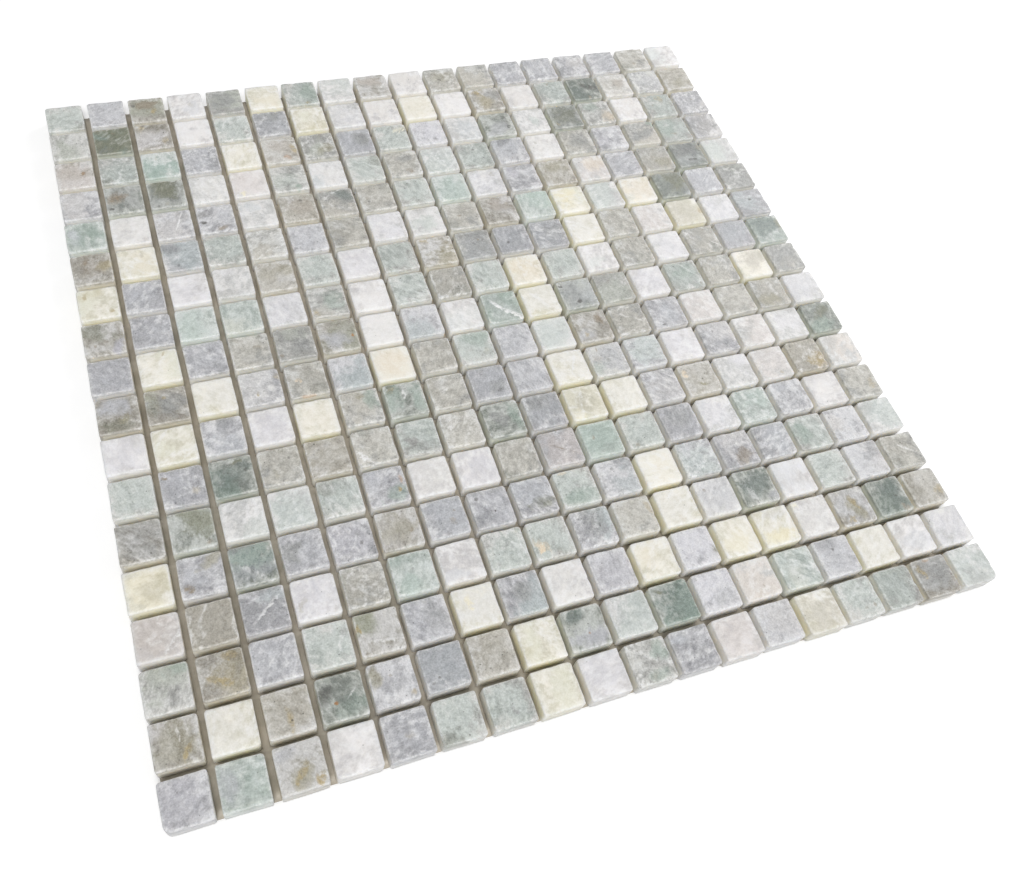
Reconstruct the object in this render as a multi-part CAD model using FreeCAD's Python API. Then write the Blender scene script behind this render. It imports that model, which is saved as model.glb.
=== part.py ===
"""Mosaic tile sheet: square tumbled marble tiles glued in even rows on a glass-fibre scrim.

Millimetres, +Z up. The origin is at the middle of the underside, X runs along a row of tiles
and Y runs from the front row to the back row.
"""
import FreeCAD, Part
import os
import random

from FreeCAD import Vector

# The field of tiles
tiles_per_side = 18
tile_size = 15.0
joint_width = 2.0

# One tile
tile_thickness = 7.5
arris_chamfer = 0.5
corner_cut = 1.0

# How unevenly the tiles are cut and laid
cutting_play = 0.2
thickness_play = 0.15
placing_play = 0.2
turning_degrees = 0.7
laying_seed = 12

# The scrim: two layers of flat strands, each strand laid straight
strand_width = 0.8
strand_thickness = 0.25
strand_spacing = 5.0
scrim_inset = 1.5

# The stones and the laying chart: one letter for each tile, seen from above, back row first.
# A larger sheet starts the chart again.
stones = {
    "C": "cream_tiles", "W": "white_tiles", "D": "dark_green_tiles", "M": "mint_tiles",
    "T": "taupe_tiles", "L": "lavender_grey_tiles", "G": "green_grey_tiles", "P": "pale_grey_tiles",
}
laying_chart = [
    "GLTWGCGPTWGGLLLLGW",
    "GDTWGLCPWCWTWGDPGT",
    "TGMLCTGLGLPDPDGWGL",
    "LDDPWGPGGPGLWGLGGL",
    "MWLLPTGGGMPLTPLGDP",
    "TCLGGLGPPGTMCPCDLG",
    "CLWPTGWGTGLLCGPCPL",
    "TLMMPGWGGGCGWGPGLM",
    "LCLGGTWLWMCDGWGGCG",
    "TTCLGLCGGLPTGLPGGP",
    "WCLWCGDGLLCGLWLPPD",
    "GLDGTGGGDLCCLTPPTP",
    "TDPPGLWWGLMGLPMLWG",
    "CLDLLTLLLGLCLLLGLP",
    "WTLWGMWGGLGCPDWGLG",
    "GTLGTLCLWLCLCCWTDT",
    "TCTDLLTCDPDLPMLCWP",
    "LMTWLGGCWGLWLCGGTP",
]

pitch = tile_size + joint_width
sheet_size = tiles_per_side * pitch - joint_width
tile_seat = 2 * strand_thickness


def square_ring(half, cut, height):
    """Corners of a square about the Z axis, each cut off by a short edge where cut isn't zero."""
    corner = [(half, half - cut), (half - cut, half)] if cut else [(half, half)]
    ring = []
    for turn in (0, 90, 180, 270):
        quarter = FreeCAD.Rotation(Vector(0, 0, 1), turn)
        ring += [quarter.multVec(Vector(x, y, height)) for x, y in corner]
    return ring


def face(points):
    """Flat face inside a closed run of points."""
    return Part.Face(Part.makePolygon(points + points[:1]))


def tile(side, thickness):
    """One tile, standing on Z = 0: straight sides, cut corners and a chamfer round the top."""
    half = side / 2
    foot = square_ring(half, corner_cut, 0)
    shoulder = square_ring(half, corner_cut, thickness - arris_chamfer)
    top = square_ring(half - arris_chamfer, 0, thickness)

    faces = [face(foot), face(top)]
    for i in range(len(foot)):
        faces.append(face([foot[i - 1], foot[i], shoulder[i], shoulder[i - 1]]))
    for i in range(len(top)):
        side_end, corner_start, corner_end = shoulder[2 * i - 1], shoulder[2 * i], shoulder[2 * i + 1]
        faces.append(face([corner_start, corner_end, top[i]]))
        faces.append(face([side_end, corner_start, top[i], top[i - 1]]))
    return Part.Solid(Part.Shell(faces))


def lay_tiles():
    """Every tile in its place on the scrim, as a dictionary of (row, column) to solid."""
    play = random.Random(laying_seed)
    first = -(tiles_per_side - 1) / 2 * pitch
    laid = {}
    for row in range(tiles_per_side):
        for column in range(tiles_per_side):
            side = tile_size - play.uniform(0, cutting_play)
            solid = tile(side, tile_thickness - play.uniform(0, thickness_play))
            solid.rotate(Vector(), Vector(0, 0, 1), play.uniform(-turning_degrees, turning_degrees))
            x = first + column * pitch + play.uniform(-placing_play, placing_play)
            y = -first - row * pitch + play.uniform(-placing_play, placing_play)
            solid.translate(Vector(x, y, tile_seat))
            laid[row, column] = solid
    return laid


def stone_at(row, column):
    """The stone that the chart has in a place."""
    letters = laying_chart[row % len(laying_chart)]
    return stones[letters[column % len(letters)]]


def strands(along_y, height):
    """One layer of the scrim: parallel flat strands from edge to edge, one on the centre line."""
    length = sheet_size - 2 * scrim_inset
    reach = (length - strand_width) / 2
    each_way = round(reach / strand_spacing)
    layer = []
    for i in range(-each_way, each_way + 1):
        across = i * reach / each_way - strand_width / 2
        if along_y:
            corner, size = Vector(across, -length / 2, height), (strand_width, length)
        else:
            corner, size = Vector(-length / 2, across, height), (length, strand_width)
        layer.append(Part.makeBox(*size, strand_thickness, corner))
    return layer


def main():
    nodes = {
        "scrim_warp": strands(along_y=True, height=0),
        "scrim_weft": strands(along_y=False, height=strand_thickness),
    }
    laid = lay_tiles()
    for stone in stones.values():
        nodes[stone] = [solid for place, solid in laid.items() if stone_at(*place) == stone]

    os.makedirs("parts", exist_ok=True)
    for name, solids in nodes.items():
        Part.makeCompound(solids).exportStep(f"parts/{name}.step")
        print(name, len(solids))


main()
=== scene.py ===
"""Looks of the mosaic tile sheet: tumbled marble tiles on their scrim, the light and the camera.

Everything is in metres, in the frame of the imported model. Lengths that are easier to read in
millimetres are written as a number times MM. A tile's place is (row from the back, column from
the left), counted from 0.
"""

import math

import bmesh
import bpy
import numpy as np
from mathutils import Matrix, Vector


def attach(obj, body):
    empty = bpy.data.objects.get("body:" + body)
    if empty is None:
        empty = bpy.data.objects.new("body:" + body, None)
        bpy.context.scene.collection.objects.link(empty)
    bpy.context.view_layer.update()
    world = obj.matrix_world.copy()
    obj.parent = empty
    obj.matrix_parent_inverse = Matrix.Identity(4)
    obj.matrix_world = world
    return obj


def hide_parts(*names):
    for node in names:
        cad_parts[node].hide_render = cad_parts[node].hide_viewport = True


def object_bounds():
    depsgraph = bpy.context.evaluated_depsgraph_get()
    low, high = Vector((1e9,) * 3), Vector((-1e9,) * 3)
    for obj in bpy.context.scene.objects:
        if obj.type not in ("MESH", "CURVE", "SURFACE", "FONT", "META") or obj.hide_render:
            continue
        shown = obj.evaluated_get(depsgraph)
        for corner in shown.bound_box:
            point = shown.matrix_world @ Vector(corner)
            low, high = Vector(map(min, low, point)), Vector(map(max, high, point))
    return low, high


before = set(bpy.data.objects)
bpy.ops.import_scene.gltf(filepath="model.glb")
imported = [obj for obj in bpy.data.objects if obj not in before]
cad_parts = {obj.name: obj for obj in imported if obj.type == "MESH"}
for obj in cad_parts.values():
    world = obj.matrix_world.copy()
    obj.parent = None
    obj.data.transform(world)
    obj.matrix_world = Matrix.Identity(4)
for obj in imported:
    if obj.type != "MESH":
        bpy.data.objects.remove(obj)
cad_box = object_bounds()

MM = 0.001
TILE_SEED, WARP_SEED, WEFT_SEED, GLUE_SEED = 20, 30, 31, 32

TILES_PER_SIDE = 18
PITCH = 17.0 * MM
FIRST_TILE = -(TILES_PER_SIDE - 1) / 2 * PITCH


def eye_colour(red, green, blue):
    """A colour as it is read by eye, 0 to 255, as the linear values that a shader takes."""
    shares = [value / 255 for value in (red, green, blue)]
    return [s / 12.92 if s <= 0.04045 else ((s + 0.055) / 1.055) ** 2.4 for s in shares]


# Shader nodes

MIX_A, MIX_B, MIX_RESULT = 6, 7, 2  # a colour Mix node's own sockets


class Graph:
    """A material and its node tree, with one short method for each kind of node in use."""

    def __init__(self, name):
        self.material = bpy.data.materials.new(name)
        self.material.use_nodes = True
        self.tree = self.material.node_tree
        self.shader = self.tree.nodes["Principled BSDF"]

    def put(self, socket, value):
        """A link where value is another node's output, and otherwise the value itself."""
        if isinstance(value, bpy.types.NodeSocket):
            self.tree.links.new(value, socket)
        elif socket.type == "RGBA":
            socket.default_value = (*value, 1.0)
        else:
            socket.default_value = value

    def shade(self, **inputs):
        """Inputs of the shader by name, with _ for each space."""
        for name, value in inputs.items():
            self.put(self.shader.inputs[name.replace("_", " ")], value)

    def add(self, kind, inputs, **settings):
        node = self.tree.nodes.new(kind)
        for name, value in settings.items():
            setattr(node, name, value)
        for name, value in inputs.items():
            self.put(node.inputs[name], value)
        return node

    def attribute(self, name, output):
        return self.add("ShaderNodeAttribute", {}, attribute_name=name).outputs[output]

    def place(self):
        return self.add("ShaderNodeTexCoord", {}).outputs["Object"]

    def separate(self, vector):
        return self.add("ShaderNodeSeparateXYZ", {"Vector": vector}).outputs

    def stretched(self, vector, factors):
        node = self.add("ShaderNodeVectorMath", {0: vector, 1: factors}, operation="MULTIPLY")
        return node.outputs["Vector"]

    def moved(self, vector, offset):
        node = self.add("ShaderNodeVectorMath", {0: vector, 1: offset}, operation="ADD")
        return node.outputs["Vector"]

    def joined(self, x, y, z):
        return self.add("ShaderNodeCombineXYZ", {"X": x, "Y": y, "Z": z}).outputs["Vector"]

    def maths(self, operation, first, second=0.0, third=0.0):
        node = self.add("ShaderNodeMath", {0: first, 1: second, 2: third}, operation=operation)
        return node.outputs[0]

    def noise(self, where, scale, detail=2.0, roughness=0.5):
        inputs = {"Vector": where, "Scale": scale, "Detail": detail, "Roughness": roughness}
        return self.add("ShaderNodeTexNoise", inputs).outputs["Fac"]

    def spots(self, where, scale):
        """Distance to the nearest of many scattered points, against their spacing."""
        node = self.add("ShaderNodeTexVoronoi", {"Vector": where, "Scale": scale})
        return node.outputs["Distance"]

    def rise(self, value, low, high, bottom=0.0, top=1.0):
        """Smooth change from bottom to top while value goes from low to high."""
        inputs = {"Value": value, "From Min": low, "From Max": high, "To Min": bottom,
                  "To Max": top}
        node = self.add("ShaderNodeMapRange", inputs, interpolation_type="SMOOTHSTEP")
        return node.outputs[0]

    def mix(self, share, first, second, blend="MIX"):
        node = self.add("ShaderNodeMix", {}, data_type="RGBA", blend_type=blend)
        self.put(node.inputs[0], share)
        self.put(node.inputs[MIX_A], first)
        self.put(node.inputs[MIX_B], second)
        return node.outputs[MIX_RESULT]

    def ramp(self, value, stops):
        """Colour by value. Each stop is a place from 0 to 1 and its colour."""
        node = self.add("ShaderNodeValToRGB", {"Fac": value})
        elements = node.color_ramp.elements
        for _ in stops[2:]:
            elements.new(1.0)
        for element, (place, colour) in zip(elements, stops):
            element.position = place
            element.color = (*colour, 1.0)
        return node.outputs["Color"]

    def bump(self, height, distance):
        node = self.add("ShaderNodeBump", {"Height": height, "Distance": distance})
        return node.outputs["Normal"]


# Marble. Each kind of stone has its clouds from dark to pale, the tints that drift through it,
# the colour of its dark smoke, the pale colour that its sides are painted towards further down
# (chalky stone, and painted fill light that lifts the shade in the joints), its shares of smoke,
# stains, veins and specks, and how strong its fine grain is.

STONES = {
    "cream_tiles": dict(
        clouds=[(214, 211, 196), (225, 222, 210), (231, 228, 218), (238, 235, 226)],
        tints=[(234, 229, 210), (227, 226, 212), (237, 233, 223), (233, 228, 214)],
        smoke=(208, 203, 180), side=(247, 242, 220),
        smoky=0.15, stained=0.1, veined=0.5, specked=0.0, grained=0.4),
    "white_tiles": dict(
        clouds=[(206, 204, 204), (218, 216, 215), (226, 224, 223), (236, 234, 234)],
        tints=[(218, 219, 222), (227, 224, 221), (222, 225, 223), (237, 235, 234)],
        smoke=(198, 196, 194), side=(244, 241, 234),
        smoky=0.35, stained=0.05, veined=0.7, specked=0.1, grained=0.35),
    "dark_green_tiles": dict(
        clouds=[(132, 137, 131), (155, 159, 153), (172, 175, 170), (192, 195, 191)],
        tints=[(132, 152, 141), (170, 173, 178), (148, 150, 134), (120, 134, 126)],
        smoke=(88, 93, 88), side=(224, 227, 218),
        smoky=1.0, stained=0.3, veined=0.1, specked=0.9, grained=0.55),
    "mint_tiles": dict(
        clouds=[(173, 181, 176), (187, 194, 190), (196, 202, 198), (209, 214, 211)],
        tints=[(173, 189, 182), (204, 208, 210), (185, 198, 191), (203, 206, 199)],
        smoke=(146, 160, 152), side=(234, 238, 232),
        smoky=0.6, stained=0.1, veined=0.3, specked=0.3, grained=0.55),
    "taupe_tiles": dict(
        clouds=[(159, 155, 147), (176, 173, 166), (188, 186, 181), (203, 202, 200)],
        tints=[(184, 184, 194), (176, 168, 144), (202, 200, 200), (160, 162, 146)],
        smoke=(122, 117, 104), side=(233, 229, 217),
        smoky=0.8, stained=0.85, veined=0.25, specked=0.9, grained=0.6),
    "lavender_grey_tiles": dict(
        clouds=[(168, 168, 171), (184, 184, 187), (196, 196, 198), (211, 211, 213)],
        tints=[(182, 189, 190), (192, 191, 196), (206, 204, 203), (185, 187, 191)],
        smoke=(142, 143, 146), side=(238, 237, 234),
        smoky=0.75, stained=0.15, veined=0.35, specked=0.5, grained=0.65),
    "green_grey_tiles": dict(
        clouds=[(164, 164, 161), (181, 181, 178), (194, 194, 191), (209, 209, 206)],
        tints=[(176, 185, 180), (196, 193, 185), (187, 188, 193), (184, 187, 179)],
        smoke=(138, 140, 132), side=(237, 236, 229),
        smoky=0.75, stained=0.35, veined=0.3, specked=0.6, grained=0.65),
    "pale_grey_tiles": dict(
        clouds=[(200, 200, 199), (209, 209, 208), (217, 216, 215), (227, 226, 225)],
        tints=[(206, 210, 212), (220, 214, 208), (205, 210, 206), (223, 222, 224)],
        smoke=(178, 178, 176), side=(242, 240, 234),
        smoky=0.5, stained=0.15, veined=0.6, specked=0.2, grained=0.5),
}
CLOUD_PLACES = (0.0, 0.35, 0.65, 1.0)

# Colours of placed clouds and marks
GREEN, DEEP_GREEN, MOSS = (152, 168, 158), (114, 125, 120), (122, 124, 104)
OLIVE, OCHRE, UMBER, RUST = (158, 153, 130), (174, 157, 114), (146, 133, 114), (174, 130, 80)
SMOKE, COAL, LILAC, FROST = (154, 155, 154), (86, 84, 80), (188, 189, 193), (236, 236, 236)
IVORY, PEACH, CLAY = (235, 229, 206), (224, 209, 186), (180, 172, 162)
MINT, SAND, ROSE = (187, 198, 193), (190, 186, 175), (214, 206, 202)
MOONLIT, PALE, SLATE = (223, 222, 227), (230, 229, 226), (172, 175, 178)
# The last of these is the near white of the arrises, partly bruised stone and partly a painted
# highlight
VEIN, SPECK, BRUISED_AND_HIGHLIGHT = eye_colour(*FROST), eye_colour(*COAL), eye_colour(240, 240, 239)


def marble(name, stone):
    """Tumbled marble. Its pattern runs in millimetres through the attribute "grain", which
    starts anew in each tile. "luck" holds the tile's chance tone first and its chance of veins
    last, "wear" its bruised arrises, which also set where a highlight is painted, and "depth"
    how far down its side a point is, which sets how far the side is painted paler as fill light."""
    g = Graph(name)
    grain = g.attribute("grain", "Vector")
    bedded = g.stretched(grain, (0.55, 1.0, 1.0))
    tone_luck, _, vein_luck = g.separate(g.attribute("luck", "Vector"))

    # Big soft clouds with finer wisps, drawn out along the bed of the stone
    big = g.noise(grain, 0.17, detail=3.0, roughness=0.55)
    wisps = g.noise(bedded, 0.6, detail=3.0, roughness=0.62)
    cloudy = g.maths("MULTIPLY_ADD", big, 0.64, g.maths("MULTIPLY", wisps, 0.4))
    tone = g.maths("MULTIPLY_ADD", tone_luck, 0.22, -0.11)
    lightness = g.rise(g.maths("ADD", cloudy, tone), 0.38, 0.66)
    cloud_colours = [eye_colour(*cloud) for cloud in stone["clouds"]]
    colour = g.ramp(lightness, list(zip(CLOUD_PLACES, cloud_colours)))

    # The tile's own clouds and marks, with edges that the pattern frays
    drift = g.joined(big, wisps, 0.0)
    soft = g.moved(g.stretched(drift, (3.0, 1.2, 0.0)), (-1.5, -0.6, 0.0))
    crisp = g.moved(g.stretched(drift, (3.0, 3.0, 0.0)), (-1.5, -1.5, 0.0))
    for layer, edge in MARK_LAYERS.items():
        is_mark = layer.startswith("mark")
        wobble = crisp if is_mark else soft
        x, y, strength = g.separate(g.moved(g.attribute(layer, "Vector"), wobble))
        apart = g.maths("MULTIPLY_ADD", x, x, g.maths("MULTIPLY", y, y))
        share = g.maths("MULTIPLY", g.rise(apart, edge, 1.0, bottom=1.0, top=0.0), strength)
        if is_mark:
            share = g.maths("MULTIPLY", share, g.rise(wisps, 0.35, 0.6, bottom=0.3))
        colour = g.mix(share, colour, g.attribute(layer + "_tint", "Color"))

    # Veins, along the level lines of a broad pattern
    veined = stone["veined"]
    ridge = g.noise(bedded, 0.1, detail=2.0, roughness=0.4)
    ridge = g.maths("ABSOLUTE", g.maths("SUBTRACT", ridge, 0.5))
    vein = g.maths("MULTIPLY", g.rise(ridge, 0.0, 0.06, bottom=0.4, top=0.0),
                   g.rise(wisps, 0.4, 0.6, bottom=0.15))
    vein = g.maths("MULTIPLY", vein, g.rise(vein_luck, 1.0 - veined, 1.1 - veined))
    colour = g.mix(vein, colour, VEIN)

    # Dark specks
    apart = g.maths("MULTIPLY_ADD", wisps, 0.15, g.spots(grain, 0.35))
    speck = g.rise(apart, 0.09, 0.12 + 0.1 * stone["specked"], bottom=0.75, top=0.0)
    colour = g.mix(speck, colour, SPECK)

    # Fine grain; sides painted paler further down, as chalky stone and as painted fill light
    # against the joints' shade; and bruised arrises with a painted highlight
    fine = g.noise(grain, 1.7, detail=2.0, roughness=0.7)
    grainy = g.maths("MULTIPLY_ADD", fine, 0.6, g.maths("MULTIPLY", wisps, 0.4))
    grey = g.ramp(grainy, [(0.3, (0.0,) * 3), (0.7, (1.0,) * 3)])
    colour = g.mix(stone["grained"], colour, grey, "SOFT_LIGHT")
    # Painted fill light: further down, the sides are mixed towards a pale colour that lifts the
    # shade in the joints, partly also chalky stone
    depth = g.attribute("depth", "Fac")
    colour = g.mix(g.rise(depth, 0.0, 0.35, top=0.95), colour, eye_colour(*stone["side"]))
    # Painted highlight: the arrises are mixed towards near white, partly as bruised stone and
    # partly as a highlight painted along them
    wear_and_highlight = g.attribute("wear_and_highlight", "Fac")
    bruise_and_highlight = g.maths("MULTIPLY", wear_and_highlight, g.rise(wisps, 0.35, 0.65, bottom=0.08, top=0.24))
    colour = g.mix(bruise_and_highlight, colour, BRUISED_AND_HIGHLIGHT)

    roughness = g.maths("MULTIPLY_ADD", wear_and_highlight, 0.3, g.maths("MULTIPLY_ADD", wisps, 0.3, 0.25))
    g.shade(Base_Color=colour, Roughness=roughness,
            Subsurface_Weight=1.0, Subsurface_Radius=(1.0, 0.95, 0.86), Subsurface_Scale=5.0 * MM)
    return g.material


# Clouds and marks. Each tile has up to two soft clouds and two crisper marks. The number is
# where the soft edge of a layer's clouds or marks begins, as a share of their reach.

MARK_LAYERS = {"cloud_a": 0.0, "cloud_b": 0.0, "mark_a": 0.0, "mark_b": 0.2}


def places_in(rows):
    """Places of tiles, from a dictionary of rows to the columns in them."""
    return [(row, column) for row, columns in rows.items() for column in columns]


# Tiles that stand out from their own stone: by a tint over all the tile, by being free of
# chance smoke and marks, and by being darker or lighter
TINTED = [
    (MINT, {0: [0, 6], 1: [4, 13], 2: [1, 8, 14, 16], 3: [5, 7, 9, 10, 16], 4: [8], 5: [3, 13],
            6: [5], 7: [7, 9, 11], 8: [14], 9: [8, 10], 10: [12], 11: [0, 6], 12: [3, 4, 11],
            13: [9, 12, 15, 17], 14: [7, 8, 15], 15: [3], 16: [9], 17: [5, 6, 9, 14, 15, 17]}),
    (SAND, {0: [10, 16], 1: [15, 17], 3: [8, 13], 4: [5, 7, 12, 15], 5: [6, 9], 6: [4, 13, 15],
            7: [8, 13, 15], 8: [3, 15], 9: [4, 7, 12, 15, 16], 10: [7], 11: [3, 4, 5, 7, 13, 16],
            12: [8, 17], 14: [1, 4, 10, 17], 15: [17], 16: [2, 6], 17: [13]}),
    (ROSE, {2: [0], 3: [4], 4: [13], 6: [14], 9: [14], 10: [15], 11: [15], 12: [9], 14: [0],
            17: [11]}),
    (LILAC, {0: [1, 12, 13, 15], 1: [16], 2: [3], 4: [14], 5: [5, 16], 6: [1], 7: [1, 16],
             8: [0, 2], 9: [9], 10: [9], 11: [1], 12: [12], 13: [1, 3, 7], 14: [12], 15: [2, 5, 15],
             16: [5, 14], 17: [4]}),
    (MOONLIT, {2: [9], 4: [10], 5: [7], 6: [2, 6, 16], 7: [4, 14], 8: [13], 9: [17], 10: [0, 3, 13],
               12: [7, 13], 14: [3], 15: [11], 16: [11, 17], 17: [8]}),
    (PALE, {2: [5], 3: [3, 12], 4: [1], 5: [14], 6: [12], 8: [6, 10], 9: [2, 3], 10: [10], 11: [11],
            12: [6], 14: [11], 15: [8, 14], 16: [1, 15]}),
    (SLATE, {1: [5], 4: [16], 6: [9, 10, 11], 8: [11], 9: [11], 11: [9], 17: [16]}),
    (SMOKE, {2: [13], 3: [1, 2], 5: [17], 12: [0]}),
]
TINT_AT = {place: colour for colour, rows in TINTED for place in places_in(rows)}
PLAIN = places_in({0: [1, 12, 13], 1: [0, 4, 10, 17], 2: [8, 9], 3: [0], 4: [9, 11, 14],
                   5: [3, 4, 6, 11], 6: [5, 7, 13], 7: [2, 14], 8: [6, 8], 9: [3, 5, 7, 10, 12],
                   10: [1, 9, 12], 11: [0, 4, 6, 12, 13, 14], 12: [0, 1, 9, 14, 15, 16],
                   13: [11, 16], 14: [1, 10, 15], 15: [3, 4], 16: [6], 17: [0, 7, 12, 13]})
DARK = places_in({0: [4], 1: [1, 2, 5, 14], 2: [1, 6, 7, 16, 17], 3: [15, 16, 17],
                  4: [6, 15, 16, 17], 5: [6, 15, 17], 6: [1, 9, 10, 11, 15, 17],
                  7: [1, 8, 15, 16, 17], 8: [0, 4, 9, 12, 14, 15, 16, 17], 9: [0, 1, 12, 16, 17],
                  10: [8, 17], 11: [1, 9, 10, 16, 17], 12: [9, 12, 16], 13: [13], 14: [0, 1, 2, 4],
                  16: [5], 17: [15, 16]})
LIGHT = places_in({0: [0, 1, 8], 1: [0, 4, 10, 16], 2: [0, 2, 8, 9, 11], 3: [1, 4, 5, 6, 7],
                   4: [3, 8, 9], 5: [4, 5, 7, 8, 11], 6: [4, 5, 8], 7: [2, 7, 9, 11, 14],
                   8: [6, 7, 11], 9: [5, 6, 8, 9, 10], 10: [2, 6, 11, 12], 11: [0, 5, 7, 13],
                   12: [1, 4, 11], 13: [9, 10, 11, 16], 14: [7, 8, 10, 12, 15, 16],
                   15: [3, 4, 9, 11, 17], 16: [8, 10, 11, 14], 17: [2, 5, 12, 14]})

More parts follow.
